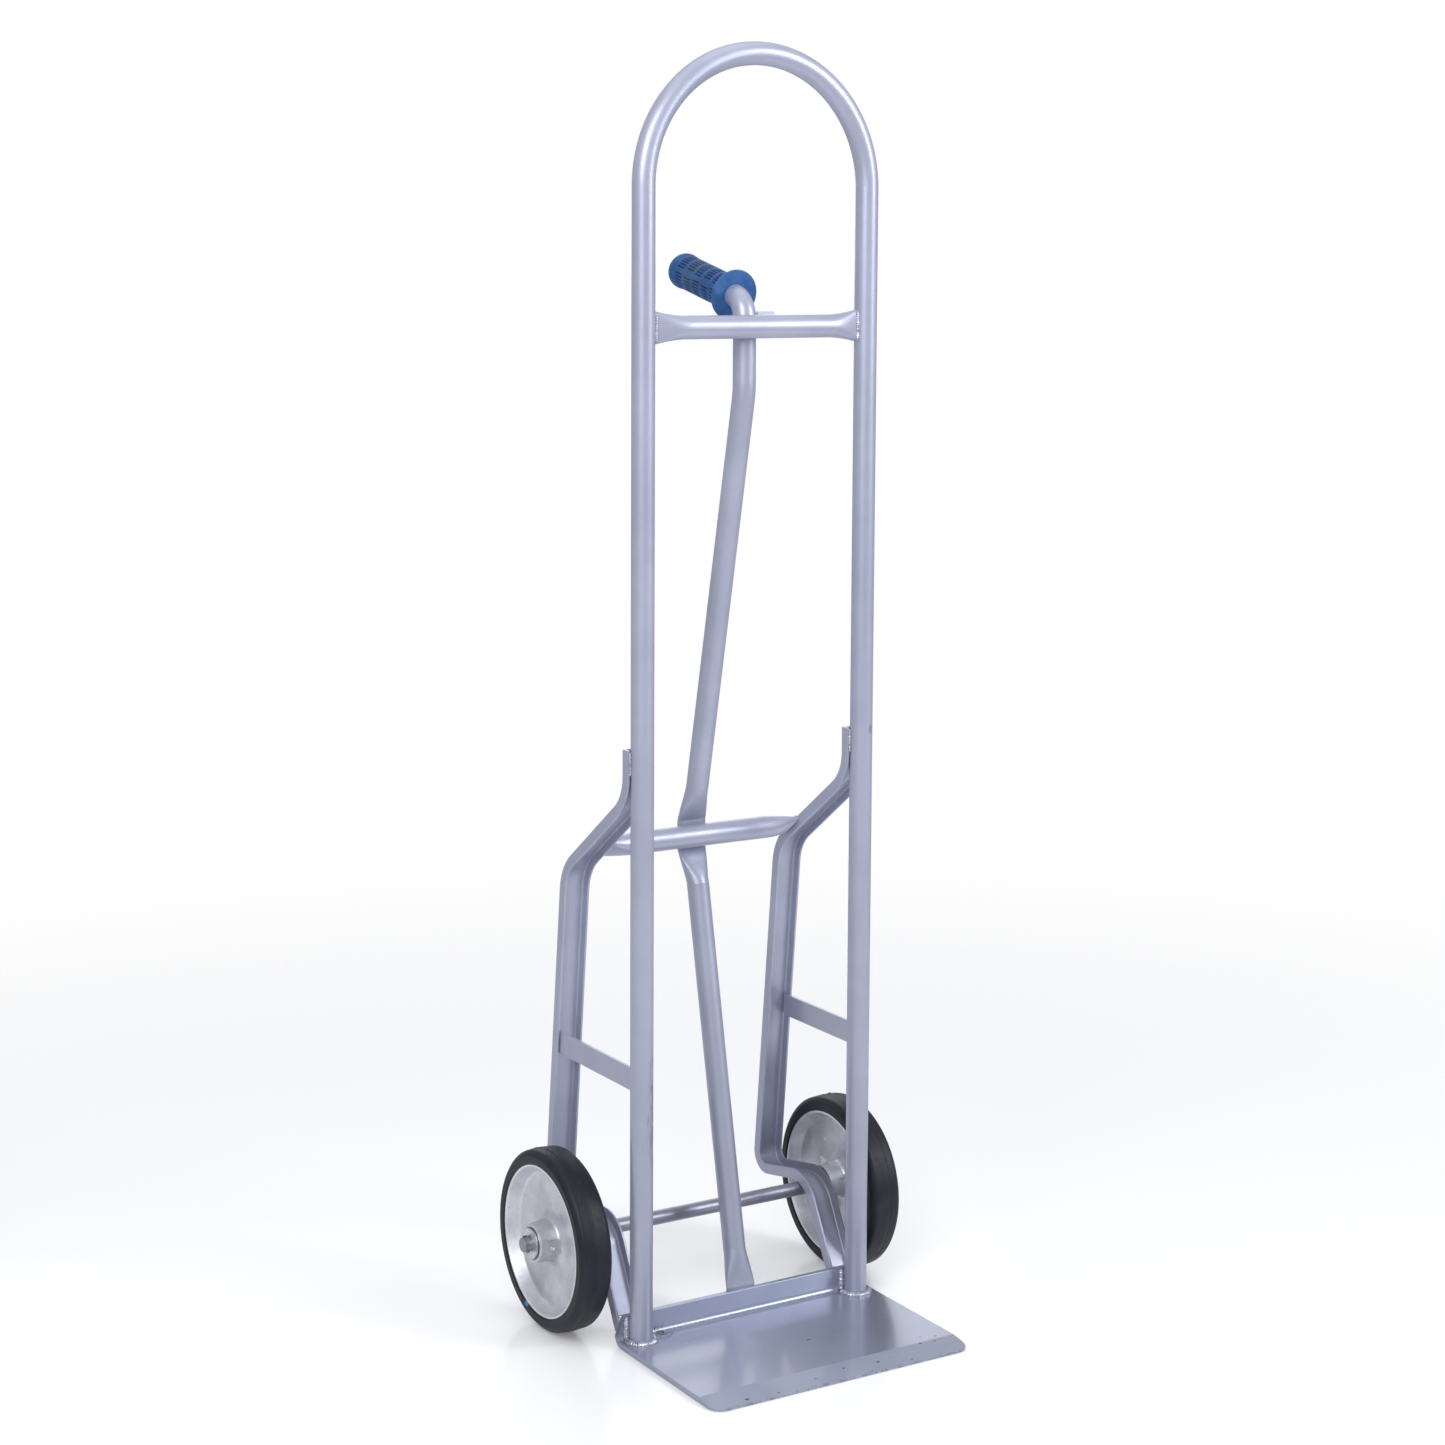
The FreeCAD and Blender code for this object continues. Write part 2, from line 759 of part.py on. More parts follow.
def strutWelds(strut, midBar, upperBar, plate):
    x = flatWidth / 2 - 3
    midY = midBarSetback + tubeRadius - 1.0
    midZ = midBarHeight + 6
    atMid = bead([V(-x, midY, midZ), V(x, midY, midZ)], weldRadius * 0.7)
    parts = [trimmed(atMid, [midBar, strut])]
    for side in (-1, 1):
        foot = V(side * (flatWidth / 2 + 0.3), flangeBackY + 0.8, plateThickness + noseBendRadius)
        atFoot = bead([foot, V(foot.x, foot.y, noseFlangeHeight - 3)], weldRadius * 0.6)
        parts.append(trimmed(atFoot, [plate, strut]))
        y = strutSetback / 2
        run = bead([V(side * 4.5, y, upperBarHeight - 6), V(side * 4.5, y, upperBarHeight + 6)], 2.2)
        parts.append(trimmed(run, [upperBar, strut]))
    return Part.makeCompound(parts)


def axleWelds(bar, channel):
    parts = []
    half = channelWidth / 2 - 4
    for side in (-1, 1):
        y = axleSetback + side * (axleRadius - 0.4)
        z = axleHeight + axleRadius - 0.4 - 1.2 * (side < 0)
        run = bead([V(legX - half, y, z), V(legX + half, y, z)], 2.8)
        parts.append(trimmed(run, [bar, channel]))
    return bothSides(parts)


def strapWelds(bar, channel):
    low = strapTopHeight - strapHeight
    x = channelMouthX - strapThickness - 0.8
    y = math.sqrt(tubeRadius ** 2 - (x - legX) ** 2) + 1.0
    atLeg = bead([V(x, y, low + 2), V(x, y, strapTopHeight - 2)], 2.6)
    return bothSides([trimmed(atLeg, [legRod(1), bar])])


os.makedirs("parts", exist_ok=True)
plate = nosePlate()
channel = rightChannel()
rightStrap = strap(channel)
upperBar = upperCrossbar()
midBar = midCrossbar()
strut = centreStrut()
wheelAxle = axle()

export("nose_plate", plate)
export("tube_loop", tubeLoop(plate))
export("upper_crossbar", upperBar)
export("mid_crossbar", midBar)
export("centre_strut", strut)
export("handle_grip", handleGrip())
export("handle_tab", handleTab())
export("axle", wheelAxle)
export("leg_base_welds", legBaseWelds(plate))
export("channel_top_welds", channelTopWelds(channel))
export("channel_toe_welds", channelToeWelds(plate, channel))
export("upper_bar_welds", upperBarWelds(upperBar))
export("mid_bar_welds", midBarWelds(midBar, channel))
export("strut_welds", strutWelds(strut, midBar, upperBar, plate))
export("axle_welds", axleWelds(wheelAxle, channel))
export("strap_welds", strapWelds(rightStrap, channel))

rightPieces = {
    "channel": channel,
    "strap": rightStrap,
    "inner_washer": washer(channelOutsideX),
    "outer_washer": washer(outerWasherX),
    "cotter_pin": cotterPin(),
}
for name, shape in rightPieces.items():
    export("right_" + name, shape)
    export("left_" + name, mirrored(shape))

# the right wheel stands at the inner end of its play on the axle, the left one at the outer end
wheelPieces = {
    "wheel_hub": wheelHub(),
    "tyre": tyre(),
    "bearing_outer_rings": bearingOuterRings(),
    "bearing_inner_rings": bearingInnerRings(),
    "bearing_balls": bearingBalls(),
    "bearing_seals": bearingSeals(),
    "grease_fitting": greaseFitting(),
}
for name, shape in wheelPieces.items():
    outer = mirrored(shape)
    outer.translate(V(-wheelPlay, 0, 0))
    export("right_" + name, shape)
    export("left_" + name, outer)
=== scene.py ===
import math

import bpy
from mathutils import Matrix, Vector


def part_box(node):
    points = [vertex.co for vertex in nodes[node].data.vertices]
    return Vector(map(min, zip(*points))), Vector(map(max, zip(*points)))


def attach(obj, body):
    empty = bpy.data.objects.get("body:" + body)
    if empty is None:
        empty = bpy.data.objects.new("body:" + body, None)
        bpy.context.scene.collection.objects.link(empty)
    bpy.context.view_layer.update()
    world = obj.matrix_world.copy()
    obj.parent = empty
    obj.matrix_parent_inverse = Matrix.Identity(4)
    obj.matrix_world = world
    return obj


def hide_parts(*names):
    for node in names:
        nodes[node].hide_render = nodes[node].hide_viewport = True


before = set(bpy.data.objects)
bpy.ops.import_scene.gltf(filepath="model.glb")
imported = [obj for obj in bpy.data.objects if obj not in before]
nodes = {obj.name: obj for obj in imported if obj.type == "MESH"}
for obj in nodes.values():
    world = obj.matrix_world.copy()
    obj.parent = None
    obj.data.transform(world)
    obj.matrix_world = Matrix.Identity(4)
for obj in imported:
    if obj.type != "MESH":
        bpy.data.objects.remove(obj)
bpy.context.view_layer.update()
print("frame loaded:", len(nodes), "CAD pieces")


# node trees, shader and geometry alike, written as plain sums

class Wire:
    # one socket of a tree; sums on it add Math nodes
    def __init__(self, tree, socket):
        self.tree = tree
        self.socket = socket

    def math(self, operation, *values):
        return self.tree.add("ShaderNodeMath", {"operation": operation}, dict(enumerate(values)))

    def __add__(self, other):
        return self.math("ADD", self, other)

    def __sub__(self, other):
        return self.math("SUBTRACT", self, other)

    def __mul__(self, other):
        return self.math("MULTIPLY", self, other)

    def __truediv__(self, other):
        return self.math("DIVIDE", self, other)

    def __rsub__(self, other):
        return self.math("SUBTRACT", other, self)

    __radd__ = __add__
    __rmul__ = __mul__

    def __abs__(self):
        return self.math("ABSOLUTE", self)

    def root(self):
        return self.math("SQRT", self)

    def floor(self):
        return self.math("FLOOR", self)

    def ramp(self, low, high, bottom=0.0, top=1.0):
        # smooth step from bottom to top as the value goes from low to high
        values = {0: self, 1: low, 2: high, 3: bottom, 4: top}
        return self.tree.add("ShaderNodeMapRange", {"interpolation_type": "SMOOTHSTEP"}, values)


class Graph:
    # a node tree with one way to add any node
    def __init__(self, tree):
        self.tree = tree

    def add(self, kind, settings=None, values=None, output=0):
        node = self.tree.nodes.new(kind)
        for name, value in (settings or {}).items():
            if name == "stops":
                setStops(node.color_ramp, value)
            else:
                setattr(node, name, value)
        for name, value in (values or {}).items():
            self.feed(node.inputs[name], value)
        return Wire(self, node.outputs[output])

    def feed(self, socket, value):
        if isinstance(value, Wire):
            self.tree.links.new(value.socket, socket)
        else:
            socket.default_value = value


def setStops(ramp, stops):
    while len(ramp.elements) < len(stops):
        ramp.elements.new(0.5)
    for element, (place, colour) in zip(ramp.elements, stops):
        element.position = place
        element.color = colour


class Finish(Graph):
    # a material whose fixed numbers go straight on the shader
    def __init__(self, name, constants):
        self.material = bpy.data.materials.new(name)
        self.material.use_nodes = True
        super().__init__(self.material.node_tree)
        self.shader = self.tree.nodes["Principled BSDF"]
        for socket, value in constants.items():
            self.shader.inputs[socket].default_value = value
        self.place = self.add("ShaderNodeTexCoord", output="Object")

    def axes(self):
        split = self.add("ShaderNodeSeparateXYZ", values={0: self.place})
        return [Wire(self, split.socket.node.outputs[i]) for i in range(3)]

    def stretched(self, scale):
        return self.add("ShaderNodeMapping", values={"Vector": self.place, "Scale": scale})

    def noise(self, scale, detail=3.0, roughness=0.5, place=None):
        values = {"Vector": place or self.place, "Scale": scale, "Detail": detail, "Roughness": roughness}
        return self.add("ShaderNodeTexNoise", values=values)

    def mix(self, factor, first, second):
        settings = {"data_type": "RGBA"}
        return self.add("ShaderNodeMix", settings, {0: factor, 6: first, 7: second}, output=2)

    def bump(self, height, distance, strength=1.0, normal=None):
        values = {"Height": height, "Distance": distance, "Strength": strength}
        if normal is not None:
            values["Normal"] = normal
        return self.add("ShaderNodeBump", values=values)

    def near(self, axes, centre, reach):
        # 1 at a spot, 0 beyond its reach
        parts = [((axis - at) / size) for axis, at, size in zip(axes, centre, reach)]
        return (parts[0] * parts[0] + parts[1] * parts[1] + parts[2] * parts[2]).ramp(0.15, 1.0, 1.0, 0.0)

    def set(self, **sockets):
        for name, value in sockets.items():
            self.feed(self.shader.inputs[socketNames[name]], value)


socketNames = {
    "colour": "Base Color",
    "roughness": "Roughness",
    "metallic": "Metallic",
    "normal": "Normal",
    "coat": "Coat Weight",
}


def rgb(red, green, blue):
    return (red, green, blue, 1.0)


def middle(name):
    low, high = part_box(name)
    return (low + high) / 2


# places read from the frame
loopLow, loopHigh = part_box("tube_loop")
plateLow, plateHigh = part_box("nose_plate")
tubeRadius = (loopHigh.y - loopLow.y) / 2
legY = (loopHigh.y + loopLow.y) / 2
legX = loopHigh.x - tubeRadius
axleAt = middle("axle")
wheelAt = {side: middle(side + "_tyre") for side in ("left", "right")}
sides = (("left", -1), ("right", 1))


def axleDistance(axes):
    dy, dz = axes[1] - axleAt.y, axes[2] - axleAt.z
    return (dy * dy + dz * dz).root()


# finishes

paintLook = {
    "light": rgb(0.465, 0.490, 0.620),
    "shade": rgb(0.400, 0.422, 0.545),
    "flake": rgb(0.66, 0.67, 0.78),
    # the plate tones are the frame paint darkened: painted shade on the plate
    "plateShadedLight": rgb(0.335, 0.365, 0.470),
    "plateShadedDark": rgb(0.295, 0.322, 0.420),
    "dirt": rgb(0.045, 0.040, 0.042),
    "rust": rgb(0.105, 0.070, 0.060),
    "peelSize": 260.0,
    "peelDepth": 0.000004,
    "specks": 0.70,
}


def framePaint(name, tones, roughness, metal, wear):
    # silver enamel with flake, orange peel, soft stains and a few dark specks
    paint = Finish(name, {"Coat Roughness": 0.10, "Coat IOR": 1.5, "IOR": 1.5})
    axes = paint.axes()
    cloud = paint.noise(9.0, 4.0, 0.6)
    flake = paint.noise(2600.0, 1.0)
    colour = paint.mix(cloud.ramp(0.30, 0.72), paintLook[tones[0]], paintLook[tones[1]])
    colour = paint.mix((flake - 0.5) * 0.03 + 0.04, colour, paintLook["flake"])
    stain = paint.noise(38.0, 5.0, 0.7).ramp(0.60, 0.78) * 0.08
    colour = paint.mix(stain, colour, rgb(0.22, 0.22, 0.27))
    speck = paint.noise(190.0, 2.0, 0.5).ramp(paintLook["specks"], paintLook["specks"] + 0.025)
    speck = speck * paint.noise(23.0, 2.0).ramp(0.50, 0.62) * wear
    colour = paint.mix(speck, colour, paintLook["dirt"])
    scratch = paint.noise(1.0, 2.0, 0.5, paint.stretched((520.0, 520.0, 26.0))).ramp(0.70, 0.76)
    scratch = scratch * paint.noise(7.0, 2.0).ramp(0.54, 0.66) * wear
    colour = paint.mix(scratch * 0.5, colour, rgb(0.14, 0.14, 0.18))
    smear = paint.noise(60.0, 3.0).ramp(0.35, 0.75) * 0.04
    paint.set(colour=colour, roughness=roughness + smear, metallic=metal - speck * 0.4, coat=0.35 - speck * 0.35)
    paint.set(normal=paint.bump(paint.noise(paintLook["peelSize"], 2.0, 0.4), paintLook["peelDepth"], 0.4))
    return paint, axes, colour


def tubePaint():
    paint, axes, colour = framePaint("frame_paint", ("shade", "light"), 0.40, 0.45, 0.06)
    # rubbed dark marks on the left leg, near the height of the wheel
    rub = paint.near(axes, (-legX + tubeRadius * 0.7, legY - tubeRadius * 0.6, 0.265), (0.012, 0.02, 0.085))
    streak = paint.noise(1.0, 3.0, 0.6, paint.stretched((900.0, 900.0, 60.0))).ramp(0.50, 0.60)
    colour = paint.mix(rub * streak * 0.7, colour, rgb(0.08, 0.08, 0.10))
    nick = paint.near(axes, (legX + tubeRadius * 0.35, legY - tubeRadius, 0.664), (0.004, 0.012, 0.007))
    colour = paint.mix(nick * 0.5, colour, rgb(0.16, 0.16, 0.20))
    # painted shade on the bracket faces beside the wheels, where the wheels shade them
    for hand in (-1, 1):
        wheelSideShade = paint.near(axes, (hand * 0.159, axleAt.y - 0.015, 0.085), (0.016, 0.075, 0.075))
        colour = paint.mix(wheelSideShade * 0.65, colour, rgb(0.12, 0.115, 0.13))
    # painted shade: a warm grey darkening that grows towards the floor, where less light reaches
    low = axes[2].ramp(0.0, 0.80, 0.34, 0.0)
    paint.set(colour=paint.mix(low, colour, rgb(0.20, 0.21, 0.265)))
    return paint.material


# dark dots on the plate: across, along, size
plateSpots = [
    (0.018, -0.095, 0.0030), (0.052, -0.180, 0.0026), (-0.120, -0.188, 0.0032), (0.010, -0.176, 0.0022),
    (0.118, -0.166, 0.0022), (0.136, -0.168, 0.0018), (0.144, -0.158, 0.0024), (-0.03, -0.182, 0.0018),
    (0.128, -0.152, 0.0016), (-0.082, -0.19, 0.0020), (0.09, -0.19, 0.0016),
]


def platePaint():
    # the plate takes the darker tones: painted shade on the same silver paint as the frame
    paint, axes, colour = framePaint("plate_paint", ("plateShadedDark", "plateShadedLight"), 0.30, 0.55, 0.5)
    # a fine dark line in the bend, and a heap of grit by the left leg
    line = paint.near([axes[0] * 0, axes[1], axes[2]], (0, plateHigh.y - 0.0095, 0.009), (1, 0.0028, 0.0032))
    grit = paint.noise(340.0, 3.0, 0.7).ramp(0.44, 0.60)
    colour = paint.mix(line * grit * 0.35, colour, paintLook["rust"])
    heap = paint.near(axes, (-legX + 0.026, plateHigh.y - 0.016, 0.008), (0.020, 0.014, 0.012))
    colour = paint.mix(heap * grit * 0.9, colour, paintLook["dirt"])
    for x, y, size in plateSpots:
        mark = paint.near(axes, (x, y, 0.004), (size, size * 0.8, 0.02))
        colour = paint.mix(mark * 0.9, colour, paintLook["dirt"])
    # the ground bevel at the front is a little duller and scuffed along the edge
    front = axes[1].ramp(plateLow.y + 0.033, plateLow.y + 0.0335, 1.0, 0.0)
    scuff = paint.noise(1.0, 3.0, 0.6, paint.stretched((24.0, 700.0, 700.0))).ramp(0.55, 0.66)
    colour = paint.mix(front * scuff * 0.22, colour, rgb(0.46, 0.47, 0.54))
    edge = axes[1].ramp(plateLow.y, plateLow.y + 0.004, 1.0, 0.0)
    chips = paint.noise(210.0, 3.0, 0.6).ramp(0.50, 0.58)
    colour = paint.mix(edge * chips * 0.6, colour, rgb(0.14, 0.14, 0.18))
    paint.set(colour=colour, roughness=0.29 + front * 0.08 + paint.noise(50.0, 3.0) * 0.05)
    return paint.material


def weldFinish():
    # bright, lumpy painted weld metal with soot in the valleys
    weld = Finish("weld_paint", {"Coat Roughness": 0.06, "Coat Weight": 0.9})
    cloud = weld.noise(160.0, 3.0, 0.6)
    colour = weld.mix(cloud.ramp(0.3, 0.7), rgb(0.34, 0.35, 0.43), rgb(0.58, 0.59, 0.68))
    soot = weld.noise(420.0, 2.0).ramp(0.64, 0.72)
    weld.set(colour=weld.mix(soot * 0.7, colour, rgb(0.10, 0.08, 0.08)))
    weld.set(roughness=0.16 + cloud * 0.16, metallic=0.7 - soot * 0.4)
    weld.set(normal=weld.bump(weld.noise(420.0, 3.0, 0.6), 0.0003, 0.5))
    return weld.material


def gripFinish(start, along):
    # blue vinyl with a greasy green-grey band round its middle
    grip = Finish("grip_plastic", {"IOR": 1.5, "Specular IOR Level": 0.45})
    y, z = grip.axes()[1:]
    reach = (y - start.y) * along.y + (z - start.z) * along.z
    cloud = grip.noise(46.0, 4.0, 0.6)
    colour = grip.mix(cloud.ramp(0.30, 0.70), rgb(0.014, 0.075, 0.245), rgb(0.034, 0.135, 0.360))
    # painted shade darkens the slots, which are marked on the mesh
    slot = grip.add("ShaderNodeAttribute", {"attribute_name": "slot"}, output="Fac")
    colour = grip.mix(slot * 0.68, colour, rgb(0.004, 0.022, 0.080))
    band = reach.ramp(0.047, 0.057) * reach.ramp(0.075, 0.086, 1.0, 0.0)
    blotch = grip.noise(70.0, 4.0, 0.65).ramp(0.34, 0.62)
    colour = grip.mix(band * blotch * 0.62, colour, rgb(0.060, 0.095, 0.120))
    pale = grip.noise(28.0, 3.0).ramp(0.56, 0.72) * 0.20
    colour = grip.mix(pale, colour, rgb(0.10, 0.22, 0.46))
    grip.set(colour=colour, roughness=0.42 + cloud * 0.16 + slot * 0.15)
    grip.set(normal=grip.bump(grip.noise(900.0, 2.0), 0.00012, 0.5))
    return grip.material


def castFinish():
    # die-cast aluminium with flow marks, grey bloom and a painted highlight on the smoother rim edge
    cast = Finish("cast_aluminium", {"IOR": 1.4})
    radius = axleDistance(cast.axes())
    cloud = cast.noise(22.0, 5.0, 0.62)
    fine = cast.noise(240.0, 3.0, 0.6)
    colour = cast.mix(cloud.ramp(0.32, 0.68), rgb(0.52, 0.53, 0.575), rgb(0.74, 0.75, 0.79))
    stain = cast.noise(11.0, 4.0, 0.7).ramp(0.52, 0.70)
    colour = cast.mix(stain * 0.38, colour, rgb(0.34, 0.35, 0.38))
    flow = cast.noise(1.0, 4.0, 0.6, cast.stretched((40.0, 16.0, 60.0))).ramp(0.55, 0.70)
    colour = cast.mix(flow * 0.25, colour, rgb(0.72, 0.72, 0.74))
    # painted highlight: the rim edge is painted paler, and it is also given a lower roughness
    rimHighlight = radius.ramp(0.0812, 0.0824)
    colour = cast.mix(rimHighlight * 0.7, colour, rgb(0.80, 0.80, 0.81))
    pit = cast.noise(300.0, 2.0).ramp(0.70, 0.74)
    colour = cast.mix(pit * 0.6, colour, rgb(0.22, 0.22, 0.24))
    cast.set(colour=colour, roughness=0.34 + cloud * 0.20 - rimHighlight * 0.12, metallic=0.80)
    cast.set(normal=cast.bump(fine * 0.6 + cloud * 0.8 - pit, 0.00022, 0.6))
    return cast.material


def rubberFinish():
    # moulded rubber, dusty on the tread, with faint rings and rub marks
    rubber = Finish("tyre_rubber", {"IOR": 1.5, "Specular IOR Level": 0.32})
    axes = rubber.axes()
    radius = axleDistance(axes)
    cloud = rubber.noise(26.0, 5.0, 0.62)
    colour = rubber.mix(cloud.ramp(0.30, 0.75), rgb(0.006, 0.008, 0.014), rgb(0.013, 0.015, 0.024))
    dust = rubber.noise(55.0, 5.0, 0.7).ramp(0.52, 0.72) * radius.ramp(0.096, 0.1005)
    colour = rubber.mix(dust * 0.22, colour, rgb(0.050, 0.052, 0.062))
    ringValues = {"Vector": rubber.place, "Scale": 130.0, "Distortion": 1.6, "Detail": 2.0, "Detail Scale": 0.6}
    rings = rubber.add("ShaderNodeTexWave", {"bands_direction": "X"}, ringValues)
    scuff = rubber.noise(130.0, 3.0, 0.6).ramp(0.60, 0.70)
    colour = rubber.mix(scuff * 0.15, colour, rgb(0.045, 0.047, 0.055))
    # a dab of blue marking paint low on the left tyre
    blue = rubber.near(axes, (wheelAt["left"].x - 0.0195, axleAt.y + 0.030, 0.0205), (0.004, 0.005, 0.004))
    colour = rubber.mix(blue, colour, rgb(0.03, 0.20, 0.62))
    rubber.set(colour=colour, roughness=0.36 + cloud * 0.20 + dust * 0.2)
    rubber.set(normal=rubber.bump(rubber.noise(850.0, 3.0, 0.6) * 0.7 + rings * 0.35 + cloud, 0.00016, 0.6))
    return rubber.material


def steelFinish(name, light, dark, stain, share, roughness, grain=0.00003):
    # bare or plated steel with brown staining
    steel = Finish(name, {"IOR": 1.45})
    cloud = steel.noise(90.0, 4.0, 0.6)
    colour = steel.mix(cloud.ramp(0.3, 0.7), dark, light)
    brown = steel.noise(170.0, 4.0, 0.7).ramp(0.62 - share * 0.4, 0.74 - share * 0.3)
    colour = steel.mix(brown * share, colour, stain)
    turned = steel.noise(1.0, 2.0, 0.5, steel.stretched((2400.0, 90.0, 90.0)))
    steel.set(colour=colour, roughness=roughness + cloud * 0.15 + brown * 0.2, metallic=0.92 - brown * 0.5)
    steel.set(normal=steel.bump(turned * 0.3 + brown, grain, 0.4))
    return steel.material


def sealFinish():
    seal = Finish("seal_plastic", {"IOR": 1.5})
    cloud = seal.noise(180.0, 3.0)
    seal.set(colour=seal.mix(cloud.ramp(0.3, 0.7), rgb(0.012, 0.085, 0.095), rgb(0.03, 0.15, 0.165)))
    seal.set(roughness=0.30 + cloud * 0.2, normal=seal.bump(cloud, 0.0001, 0.5))
    return seal.material


steelKinds = {
    "zinc": {
        "name": "zinc_plate", "light": rgb(0.72, 0.73, 0.76), "dark": rgb(0.50, 0.52, 0.56),
        "stain": rgb(0.35, 0.30, 0.24), "share": 0.35, "roughness": 0.26,
    },
    "bearing": {
        "name": "bearing_steel", "light": rgb(0.66, 0.66, 0.68), "dark": rgb(0.46, 0.47, 0.49),
        "stain": rgb(0.3, 0.22, 0.15), "share": 0.2, "roughness": 0.18,
    },
    "bare": {
        "name": "bare_steel", "light": rgb(0.40, 0.36, 0.33), "dark": rgb(0.17, 0.145, 0.13),
        "stain": rgb(0.15, 0.075, 0.04), "share": 0.8, "roughness": 0.32,
    },
    "axle": {
        "name": "axle_steel", "light": rgb(0.33, 0.34, 0.40), "dark": rgb(0.29, 0.30, 0.36),
        "stain": rgb(0.20, 0.17, 0.16), "share": 0.03, "roughness": 0.34, "grain": 0.00001,
    },
}
finishes = {
    "frame": tubePaint(),
    "plate": platePaint(),
    "weld": weldFinish(),
    "cast": castFinish(),
    "rubber": rubberFinish(),
    "seal": sealFinish(),
}
for kind, values in steelKinds.items():
    finishes[kind] = steelFinish(**values)
print("finishes ready:", len(finishes))


def finishFor(name):
    rules = [("nose_plate", "plate"), ("weld", "weld"), ("tyre", "rubber"), ("hub", "cast"), ("seal", "seal")]
    rules += [("bearing", "bearing"), ("washer", "zinc"), ("cotter", "bare"), ("grease", "zinc"), ("axle", "axle")]
    return next((finish for word, finish in rules if word in name), "frame")


for name, node in nodes.items():
    material = finishes[finishFor(name)]
    if not node.material_slots:
        node.data.materials.append(material)
    for held in node.material_slots:
        held.material = material


# helpers that turn a geometry tree into a plain mesh

def startTree(name, sizes):
    tree = bpy.data.node_groups.new(name, "GeometryNodeTree")
    tree.interface.new_socket("Geometry", in_out="INPUT", socket_type="NodeSocketGeometry")
    tree.interface.new_socket("Finish", in_out="INPUT", socket_type="NodeSocketMaterial")
    for label, value in sizes.items():
        kind = "NodeSocketInt" if isinstance(value, int) else "NodeSocketFloat"
        tree.interface.new_socket(label, in_out="INPUT", socket_type=kind).default_value = value
    tree.interface.new_socket("Geometry", in_out="OUTPUT", socket_type="NodeSocketGeometry")
    graph = Graph(tree)
    group = tree.nodes.new("NodeGroupInput")
    given = {socket.name: Wire(graph, socket) for socket in group.outputs if socket.name}
    return graph, given


def endTree(graph, given, geometry):
    smooth = graph.add("GeometryNodeSetShadeSmooth", values={"Geometry": geometry})
    real = graph.add("GeometryNodeRealizeInstances", values={"Geometry": smooth})
    done = graph.add("GeometryNodeSetMaterial", values={"Geometry": real, "Material": given["Finish"]})
    out = graph.tree.nodes.new("NodeGroupOutput")
    graph.tree.links.new(done.socket, out.inputs["Geometry"])
    return graph.tree


def newMesh(name, points, edges=(), faces=()):
    mesh = bpy.data.meshes.new(name)
    mesh.from_pydata([tuple(p) for p in points], list(edges), list(faces))
    mesh.update()
    piece = bpy.data.objects.new(name, mesh)
    bpy.context.scene.collection.objects.link(piece)
    return piece


def growNodes(piece, tree, values):
    modifier = piece.modifiers.new("nodes", "NODES")
    modifier.node_group = tree
    for item in tree.interface.items_tree:
        if item.in_out == "INPUT" and item.name in values:
            modifier[item.identifier] = values[item.name]
    graph = bpy.context.evaluated_depsgraph_get()
    grown = bpy.data.meshes.new_from_object(piece.evaluated_get(graph), depsgraph=graph)
    piece.modifiers.clear()
    piece.data = grown
    return piece


# the loop: one bent tube, drawn as a smooth run from foot to foot

loopSizes = {"Radius": 0.0127, "Around": 64}
loopRun = {"steps": 128, "footRows": (0.0, 0.001, 0.002), "bendRows": (-0.3, -0.01)}


def loopTree():
    graph, given = startTree("bent tube", loopSizes)
    line = graph.add("GeometryNodeMeshToCurve", values={"Mesh": given["Geometry"]})
    circle = {"Resolution": given["Around"], "Radius": given["Radius"]}
    ring = graph.add("GeometryNodeCurvePrimitiveCircle", values=circle)
    tube = graph.add("GeometryNodeCurveToMesh", values={"Curve": line, "Profile Curve": ring, "Fill Caps": True})
    return endTree(graph, given, tube)


def makeLoop():
    bendAt = loopHigh.z - tubeRadius - legX
    rise = [loopLow.z + up for up in loopRun["footRows"]] + [bendAt + up for up in loopRun["bendRows"]]
    turns = [math.pi * i / loopRun["steps"] for i in range(loopRun["steps"] + 1)]
    points = [Vector((legX, legY, z)) for z in rise]
    points += [Vector((math.cos(a) * legX, legY, bendAt + math.sin(a) * legX)) for a in turns]
    points += [Vector((-legX, legY, z)) for z in reversed(rise)]
    piece = newMesh("bent_tube_loop", points, [(i, i + 1) for i in range(len(points) - 1)])
    growNodes(piece, loopTree(), {"Finish": finishes["frame"], "Radius": tubeRadius})
    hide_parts("tube_loop")
    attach(piece, "frame")


makeLoop()
print("loop drawn")


# weld beads: one rippled run of metal along each joint

weldPlaces = {"plateTop": 0.00635, "bar": 0.0032, "strutHalf": 0.0155, "axle": 0.0076}
weldSizes = {"Bead": 0.0030, "Pitch": 0.0024, "Ripple": 0.13, "Wander": 0.0006, "Around": 12, "Seed": 3.0}
weldNoise = {"wave": 170.0, "waveShare": 0.45, "lumps": 330.0}
beadSizes = {
    "leg": 0.0044,
    "channelTop": 0.0023,
    "channelToe": 0.0029,
    "upperBar": 0.0023,
    "midBar": 0.0022,
    "strut": 0.0021,
    "axle": 0.0028,
    "strap": 0.0025,
}


